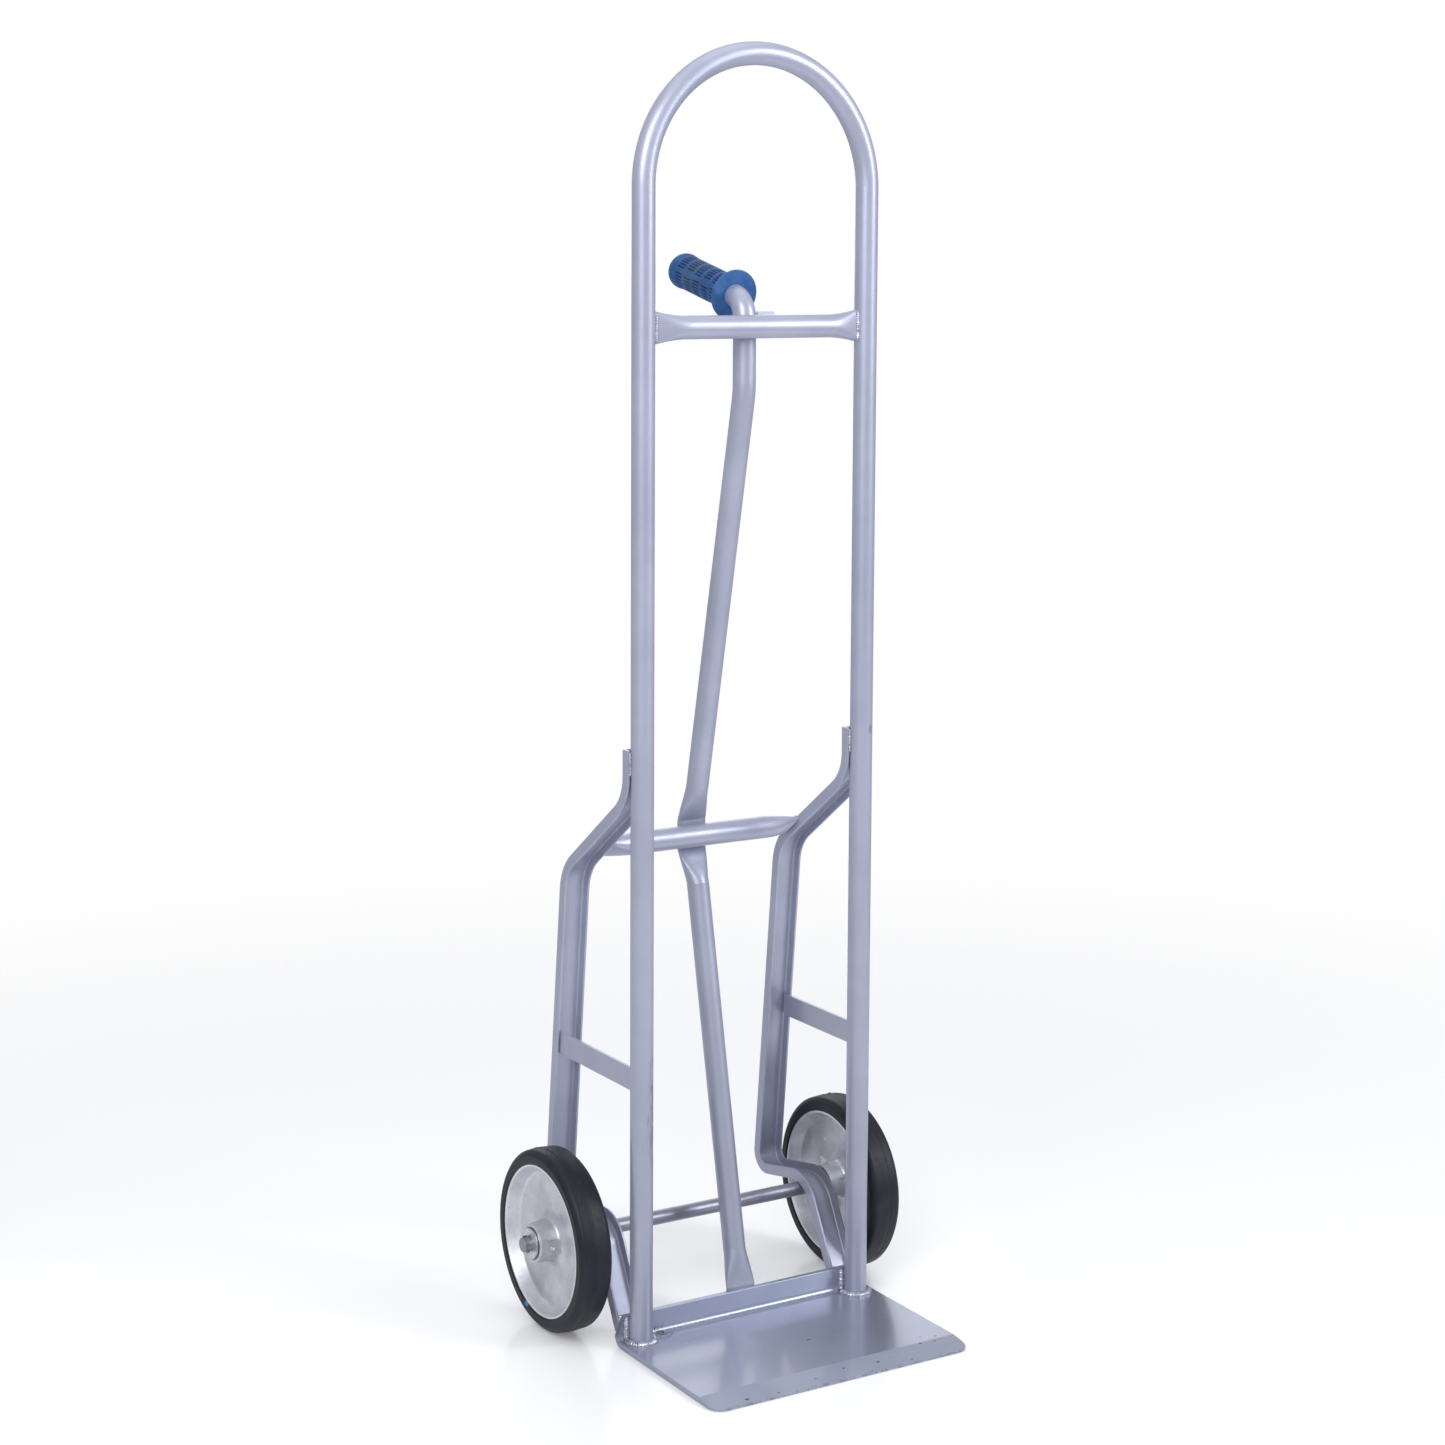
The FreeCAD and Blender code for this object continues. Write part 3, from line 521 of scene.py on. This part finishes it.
def weldTree():
    graph, given = startTree("weld bead", weldSizes)
    line = graph.add("GeometryNodeMeshToCurve", values={"Mesh": given["Geometry"]})
    line = graph.add("GeometryNodeResampleCurve", {"mode": "LENGTH"}, {"Curve": line, "Length": given["Pitch"] / 6})
    run = graph.add("GeometryNodeSplineParameter", output="Length")
    share = graph.add("GeometryNodeSplineParameter", output="Factor")
    phase = run / given["Pitch"]
    saw = phase - phase.floor()
    place = graph.add("GeometryNodeInputPosition")
    seeded = graph.add("ShaderNodeVectorMath", {"operation": "ADD"}, {0: place})
    graph.feed(seeded.socket.node.inputs[1], given["Seed"])
    wave = graph.add("ShaderNodeTexNoise", values={"Vector": seeded, "Scale": weldNoise["wave"], "Detail": 1.0})
    ends = abs(share * 2 - 1).ramp(0.90, 1.0, 1.0, 0.45)
    radius = given["Bead"] * ends * (1 - given["Ripple"] * saw + (wave - 0.5) * weldNoise["waveShare"])
    line = graph.add("GeometryNodeSetCurveRadius", values={"Curve": line, "Radius": radius})
    ring = graph.add("GeometryNodeCurvePrimitiveCircle", values={"Resolution": given["Around"], "Radius": 1.0})
    values = {"Curve": line, "Profile Curve": ring, "Fill Caps": True, "Scale": radius}
    tube = graph.add("GeometryNodeCurveToMesh", values=values)
    values = {"Vector": seeded, "Scale": weldNoise["lumps"], "Detail": 2.0}
    lumps = graph.add("ShaderNodeTexNoise", values=values, output="Color")
    centred = graph.add("ShaderNodeVectorMath", {"operation": "SUBTRACT"}, {0: lumps, 1: (0.5, 0.5, 0.5)})
    shift = graph.add("ShaderNodeVectorMath", {"operation": "SCALE"}, {0: centred, "Scale": given["Wander"] * 2})
    tube = graph.add("GeometryNodeSetPosition", values={"Geometry": tube, "Offset": shift})
    return endTree(graph, given, tube)


weldGroup = weldTree()


def roundLine(centre, radius, start, end, steps=36):
    # level arc, angles in degrees
    turns = [math.radians(start + (end - start) * i / steps) for i in range(steps + 1)]
    return [centre + Vector((math.cos(a) * radius, math.sin(a) * radius, 0)) for a in turns]


def weldPiece(name, runs, node, bead):
    # runs are lists of points; the left side mirrors the right where a run asks for it
    points, edges = [], []
    for run, mirrored in runs:
        for hand in ((1, -1) if mirrored else (1,)):
            first = len(points)
            points += [Vector((p.x * hand, p.y, p.z)) for p in run]
            edges += [(first + i, first + i + 1) for i in range(len(run) - 1)]
    piece = newMesh(name, points, edges)
    growNodes(piece, weldGroup, {"Finish": finishes["weld"], "Bead": bead, "Seed": float(len(name))})
    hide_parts(node)
    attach(piece, "frame")
    return piece


def legWelds():
    ring = Vector((legX, legY, weldPlaces["plateTop"] + 0.0008))
    runs = [(roundLine(ring, tubeRadius + 0.0019, -212, 32), True)]
    for hand in (-1, 1):
        x = legX + hand * (tubeRadius - 0.0005)
        y = legY + tubeRadius - 0.0022
        low, high = Vector((x, y, 0.0085)), Vector((x, y, 0.0325))
        runs.append(([low, high], True))
    weldPiece("leg_base_beads", runs, "leg_base_welds", beadSizes["leg"])


def channelWelds():
    chLow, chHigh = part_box("right_channel")
    runs = []
    y = legY + 0.0026
    for hand in (-1, 1):
        x = legX + hand * (tubeRadius + 0.0009)
        runs.append(([Vector((x, y, chHigh.z - 0.027)), Vector((x, y, chHigh.z - 0.0015))], True))
    weldPiece("channel_top_beads", runs, "channel_top_welds", beadSizes["channelTop"])
    low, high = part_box("channel_toe_welds")
    runs = []
    for x in (high.x - 0.0028, high.x - 0.0028 - (chHigh.x - chLow.x) + 0.0032):
        y = plateHigh.y + 0.0016
        runs.append(([Vector((x, y, low.z + 0.0025)), Vector((x, y, plateHigh.z - 0.001))], True))
    weldPiece("channel_toe_beads", runs, "channel_toe_welds", beadSizes["channelToe"])


def barWelds():
    low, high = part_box("upper_crossbar")
    x = legX - tubeRadius - 0.0003
    runs = []
    for hand in (-1, 1):
        y = legY + hand * (weldPlaces["bar"] + 0.0007)
        runs.append(([Vector((x, y, low.z + 0.0015)), Vector((x, y, high.z - 0.0015))], True))
    weldPiece("upper_bar_beads", runs, "upper_bar_welds", beadSizes["upperBar"])
    low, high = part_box("mid_bar_welds")
    x = high.x - 0.0008
    top, bottom = Vector((x, low.y + 0.002, high.z - 0.002)), Vector((x, high.y - 0.002, low.z + 0.002))
    weldPiece("mid_bar_beads", [([top, bottom], True)], "mid_bar_welds", beadSizes["midBar"])


def strutBeads():
    # across the mid crossbar, up both sides of the foot behind the flange, and beside the upper crossbar
    upper, bar = middle("upper_crossbar"), middle("mid_crossbar")
    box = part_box("strut_welds")
    mid = [Vector((x * weldPlaces["strutHalf"], box[1].y - 0.0022, bar.z + 0.006)) for x in (-1, 0, 1)]
    foot = [Vector((0.0186, plateHigh.y + 0.0010, z)) for z in (0.0130, plateHigh.z - 0.003)]
    y = legY + tubeRadius
    side = [Vector((0.0050, y, upper.z + z)) for z in (-0.007, 0.007)]
    weldPiece("strut_beads", [(mid, False), (foot, True), (side, True)], "strut_welds", beadSizes["strut"])


def axleBeads():
    low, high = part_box("right_channel")
    runs = []
    for hand, drop in ((-1, 0.0012), (1, 0.0)):
        y = axleAt.y + hand * weldPlaces["axle"]
        z = axleAt.z + weldPlaces["axle"] - drop
        runs.append(([Vector((low.x + 0.004, y, z)), Vector((high.x - 0.004, y, z))], True))
    weldPiece("axle_beads", runs, "axle_welds", beadSizes["axle"])


def strapBeads():
    low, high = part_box("strap_welds")
    x, y = high.x - 0.0030, (low.y + high.y) / 2 + 0.0006
    run = [Vector((x, y, low.z + 0.002)), Vector((x, y, high.z - 0.002))]
    weldPiece("strap_beads", [(run, True)], "strap_welds", beadSizes["strap"])


legWelds()
channelWelds()
barWelds()
strutBeads()
axleBeads()
strapBeads()
print("weld beads laid")


# the grip: a lathed sleeve whose brick pattern of slots is cut by a tree

gripSizes = {
    "tilt": 13.5,
    "flange": 0.0285,
    "flangeThickness": 0.0030,
    "barrel": 0.0193,
    "cap": 0.0202,
    "length": 0.124,
    "capLength": 0.020,
    "bore": 0.01275,
    "fillet": 0.002,
    "edge": 0.0011,
    "dome": 0.0155,
    "around": 320,
    "steps": 200,
}
slotSizes = {
    "Slots": 32,
    "Row": 0.0186,
    "Depth": 0.0016,
    "First": 0.0075,
    "Last": 0.1005,
    "Strip": 0.453,
    "Half Width": 0.024,
}


def gripFrame():
    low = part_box("handle_grip")[0]
    tilt, flange = math.radians(gripSizes["tilt"]), gripSizes["flange"]
    along = Vector((0, math.cos(tilt), math.sin(tilt)))
    start = Vector((0, low.y + flange * math.sin(tilt), low.z + flange * math.cos(tilt)))
    return start, along


def gripOutline():
    # (along, radius) from the bore at the flange, over the barrel, to the middle of the domed cap
    g = gripSizes
    thick, edge, fillet = g["flangeThickness"], g["edge"], g["fillet"]
    points = [(0.0, g["bore"]), (0.0, g["flange"] - edge)]
    for i in range(1, 8):
        a = math.pi * i / 8
        points.append((thick / 2 - math.cos(a) * thick / 2, g["flange"] - edge + math.sin(a) * edge))
    points += [(thick, g["flange"] - edge), (thick, g["barrel"] + fillet)]
    for i in range(1, 6):
        a = math.pi / 2 * i / 6
        points.append((thick + fillet * (1 - math.cos(a)), g["barrel"] + fillet * (1 - math.sin(a))))
    shoulder = g["length"] - g["capLength"]
    for i in range(g["steps"] + 1):
        points.append((thick + fillet + (shoulder - thick - fillet) * i / g["steps"], g["barrel"]))
    points += [(shoulder + 0.0006, g["cap"] - 0.0005), (shoulder + 0.0014, g["cap"])]
    dome = g["dome"]
    for i in range(25):
        a = math.pi / 2 * i / 24
        flat = math.cos(a) ** 0.86
        points.append((g["length"] - dome + dome * math.sin(a) ** 1.12, g["cap"] * flat if i < 24 else 0.0))
    return points


def lathe(name, outline, start, along, around):
    # turns an outline about a line; also stores how far along and around each point is
    across = Vector((1, 0, 0))
    up = along.cross(across) * -1
    points, faces, where = [], [], []
    for reach, radius in outline[:-1]:
        for j in range(around):
            a = 2 * math.pi * j / around
            points.append(start + along * reach + (across * math.cos(a) + up * math.sin(a)) * radius)
            where.append((reach, j / around))
    rings = len(outline) - 1
    for i in range(rings - 1):
        for j in range(around):
            k = (j + 1) % around
            faces.append((i * around + j, (i + 1) * around + j, (i + 1) * around + k, i * around + k))
    tip = len(points)
    points.append(start + along * outline[-1][0])
    where.append((outline[-1][0], 0.0))
    last = (rings - 1) * around
    faces += [(last + j, tip, last + (j + 1) % around) for j in range(around)]
    piece = newMesh(name, points, (), faces)
    for label, column in (("reach", 0), ("turn", 1)):
        attribute = piece.data.attributes.new(label, "FLOAT", "POINT")
        attribute.data.foreach_set("value", [w[column] for w in where])
    return piece


def slotTree():
    graph, given = startTree("grip slots", slotSizes)
    read = {"data_type": "FLOAT"}
    reach = graph.add("GeometryNodeInputNamedAttribute", read, {"Name": "reach"})
    turn = graph.add("GeometryNodeInputNamedAttribute", read, {"Name": "turn"})
    row = (reach - given["First"]) / given["Row"]
    line = row.floor()
    half = line / 2 - (line / 2).floor()
    column = turn * given["Slots"] + half
    side = abs(column - column.floor() - 0.5) * 2
    end = abs(row - line - 0.5) * 2
    cut = side.ramp(0.44, 0.70, 1.0, 0.0) * end.ramp(0.70, 0.82, 1.0, 0.0)
    inside = reach.math("GREATER_THAN", reach, given["First"])
    inside = inside * reach.math("LESS_THAN", reach, given["Last"])
    # a plain strip runs the whole length on the left, and its twin on the right
    twin = turn - given["Strip"]
    twin = abs(twin * 2 - (twin * 2 + 0.5).floor()) / 2
    cut = cut * inside * (twin / given["Half Width"]).ramp(0.95, 1.15)
    normal = graph.add("GeometryNodeInputNormal")
    push = graph.add("ShaderNodeVectorMath", {"operation": "SCALE"}, {0: normal, "Scale": cut * given["Depth"] * -1})
    store = {"data_type": "FLOAT", "domain": "POINT"}
    marked = graph.add("GeometryNodeStoreNamedAttribute", store,
                       {"Geometry": given["Geometry"], "Name": "slot", "Value": cut})
    carved = graph.add("GeometryNodeSetPosition", values={"Geometry": marked, "Offset": push})
    return endTree(graph, given, carved)


def makeGrip():
    start, along = gripFrame()
    piece = lathe("handle_grip_sleeve", gripOutline(), start, along, gripSizes["around"])
    growNodes(piece, slotTree(), {"Finish": gripFinish(start, along)})
    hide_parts("handle_grip")
    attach(piece, "frame")


makeGrip()
print("grip made")


# wheels: mould line and torn flash on the tread, ejector marks on the web

flashSizes = {"Line": 0.0008, "Nib": 0.0017, "Seed": 7}
treadSizes = {"radius": 0.1007, "offset": 0.0055, "count": 240}
tornSectors = {"left": [(62, 76), (84, 118)], "right": [(70, 82), (96, 112)]}
markSizes = {"count": 6, "radius": 0.050, "webFace": 0.0050, "firstAngle": 60}


def flashTree():
    graph, given = startTree("tyre flash", flashSizes)
    line = graph.add("GeometryNodeMeshToCurve", values={"Mesh": given["Geometry"]})
    ring = graph.add("GeometryNodeCurvePrimitiveCircle", values={"Resolution": 8, "Radius": given["Line"]})
    ridge = graph.add("GeometryNodeCurveToMesh", values={"Curve": line, "Profile Curve": ring, "Fill Caps": True})
    torn = graph.add("GeometryNodeInputNamedAttribute", {"data_type": "FLOAT"}, {"Name": "torn"})
    ball = graph.add("GeometryNodeMeshIcoSphere", values={"Radius": given["Nib"], "Subdivisions": 2})
    low, high = (0.25, 0.25, 0.25), (1.1, 0.9, 1.2)
    values = {0: low, 1: high, "Seed": given["Seed"]}
    size = graph.add("FunctionNodeRandomValue", {"data_type": "FLOAT_VECTOR"}, values)
    chosen = torn.math("GREATER_THAN", torn, 0.5)
    values = {"Points": given["Geometry"], "Selection": chosen, "Instance": ball, "Scale": size}
    nibs = graph.add("GeometryNodeInstanceOnPoints", values=values)
    both = graph.add("GeometryNodeJoinGeometry")
    for part in (ridge, nibs):
        graph.tree.links.new(part.socket, both.socket.node.inputs[0])
    return endTree(graph, given, both)


def markTree():
    graph, given = startTree("ejector marks", {"Disc": 0.0034})
    disc = graph.add("GeometryNodeMeshUVSphere", values={"Segments": 16, "Rings": 8, "Radius": given["Disc"]})
    values = {"Points": given["Geometry"], "Instance": disc, "Scale": (0.22, 1.0, 1.0)}
    dots = graph.add("GeometryNodeInstanceOnPoints", values=values)
    return endTree(graph, given, dots)


flashGroup = flashTree()
markGroup = markTree()


def treadLine(name, centre, offset, torn, side):
    # a fine raised ring; the torn sectors carry small nibs
    count, radius = treadSizes["count"], treadSizes["radius"]
    points, edges = [], []
    for i in range(count):
        a = 2 * math.pi * i / count
        points.append((centre.x + offset, centre.y + math.cos(a) * radius, centre.z + math.sin(a) * radius))
        edges.append((i, (i + 1) % count))
    piece = newMesh(name, points, edges)
    attribute = piece.data.attributes.new("torn", "FLOAT", "POINT")
    marks = [1.0 if any(low <= 360 * i / count <= high for low, high in torn) else 0.0 for i in range(count)]
    attribute.data.foreach_set("value", marks)
    growNodes(piece, flashGroup, {"Finish": finishes["rubber"], "Seed": flashSizes["Seed"] + side})
    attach(piece, name.split("_")[0] + "_wheel")


def hubMarks(side, hand):
    centre, radius = wheelAt[side], markSizes["radius"]
    x = centre.x - hand * markSizes["webFace"]
    points = []
    for i in range(markSizes["count"]):
        a = math.radians(360 / markSizes["count"] * i + markSizes["firstAngle"])
        points.append((x, centre.y + math.cos(a) * radius, centre.z + math.sin(a) * radius))
    piece = newMesh(side + "_hub_marks", points)
    growNodes(piece, markGroup, {"Finish": finishes["cast"]})
    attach(piece, side + "_wheel")


for side, hand in sides:
    treadLine(side + "_tyre_flash", wheelAt[side], hand * treadSizes["offset"], tornSectors[side], hand + 1)
    hubMarks(side, hand)
print("wheels detailed")


# studio

studio = {
    "camera": (-1.6075, -2.5470, 1.2020),
    "yaw": 0.5517,
    "pitch": 0.1083,
    "roll": 0.0052,
    "lens": 69.12,
    "shiftY": -0.121,
    "floor": 3.2,
    "floorLevel": -0.0004,
    "world": 0.60,
    "aim": (0, 0, 1.1),
}
lamps = {
    "key": {"place": (-2.4, -2.0, 2.5), "size": (2.0, 2.4), "power": 74.0, "tint": (1, 1, 1)},
    "fill": {"place": (2.2, -2.4, 2.2), "size": (1.2, 2.0), "power": 62.0, "tint": (0.95, 0.97, 1.0)},
    "top": {"place": (0.1, 0.2, 3.6), "size": (2.6, 2.6), "power": 14.0, "tint": (1, 1, 1)},
    "rear": {"place": (1.2, 3.0, 2.0), "size": (2.4, 1.8), "power": 18.0, "tint": (1, 1, 1)},
}


def setCamera():
    data = bpy.data.cameras.new("camera")
    data.lens = studio["lens"]
    data.sensor_width = 36.0
    data.shift_y = studio["shiftY"]
    data.clip_end = 60.0
    camera = bpy.data.objects.new("camera", data)
    bpy.context.scene.collection.objects.link(camera)
    yaw, pitch, roll = studio["yaw"], studio["pitch"], studio["roll"]
    ahead = Vector((math.sin(yaw) * math.cos(pitch), math.cos(yaw) * math.cos(pitch), -math.sin(pitch)))
    right = Vector((math.cos(yaw), -math.sin(yaw), 0))
    up = right.cross(ahead)
    right, up = right * math.cos(roll) + up * math.sin(roll), up * math.cos(roll) - right * math.sin(roll)
    turn = Matrix((right, up, -ahead)).transposed().to_4x4()
    camera.matrix_world = Matrix.Translation(studio["camera"]) @ turn
    bpy.context.scene.camera = camera


def setFloor():
    reach, level = studio["floor"], studio["floorLevel"]
    corners = [(-reach, -reach, level), (reach, -reach, level), (reach, reach, level), (-reach, reach, level)]
    floor = newMesh("floor", corners, (), [(0, 1, 2, 3)])
    pale = Finish("studio_floor", {"Roughness": 0.22, "IOR": 1.35, "Base Color": rgb(0.97, 0.97, 0.98)})
    x, y = pale.axes()[:2]
    away = (x * x + y * y).root()
    # the sheet fades out into the white room
    pale.feed(pale.shader.inputs["Alpha"], away.ramp(reach * 0.16, reach * 0.80, 0.85, 0.0))
    floor.data.materials.append(pale.material)


def softLight(name, place, size, power, tint):
    data = bpy.data.lights.new(name, "AREA")
    data.shape = "RECTANGLE"
    data.size, data.size_y = size
    data.energy = power
    data.color = tint
    lamp = bpy.data.objects.new(name, data)
    bpy.context.scene.collection.objects.link(lamp)
    lamp.location = place
    aim = Vector(studio["aim"]) - Vector(place)
    lamp.rotation_euler = aim.to_track_quat("-Z", "Y").to_euler()


def setWorld():
    world = bpy.data.worlds.new("white room")
    world.use_nodes = True
    room = Graph(world.node_tree)
    world.node_tree.nodes.clear()
    seen = room.add("ShaderNodeLightPath", output="Is Camera Ray")
    place = room.add("ShaderNodeTexCoord", output="Generated")
    height = room.add("ShaderNodeSeparateXYZ", values={0: place}, output=2)
    glow = height.ramp(-0.25, 0.75, 0.72, 0.95) * studio["world"]
    # plain white behind the object, a soft bluish glow on it
    values = {0: seen, 6: rgb(0.93, 0.95, 1.0), 7: rgb(1, 1, 1)}
    colour = room.add("ShaderNodeMix", {"data_type": "RGBA"}, values, 2)
    tint = {"Color": colour, "Strength": seen + (1 - seen) * glow}
    light = room.add("ShaderNodeBackground", values=tint)
    out = world.node_tree.nodes.new("ShaderNodeOutputWorld")
    world.node_tree.links.new(light.socket, out.inputs["Surface"])
    bpy.context.scene.world = world


setCamera()
setFloor()
for name, lamp in lamps.items():
    softLight(name, **lamp)
setWorld()
bpy.context.scene.view_settings.view_transform = "Standard"
print("studio ready")
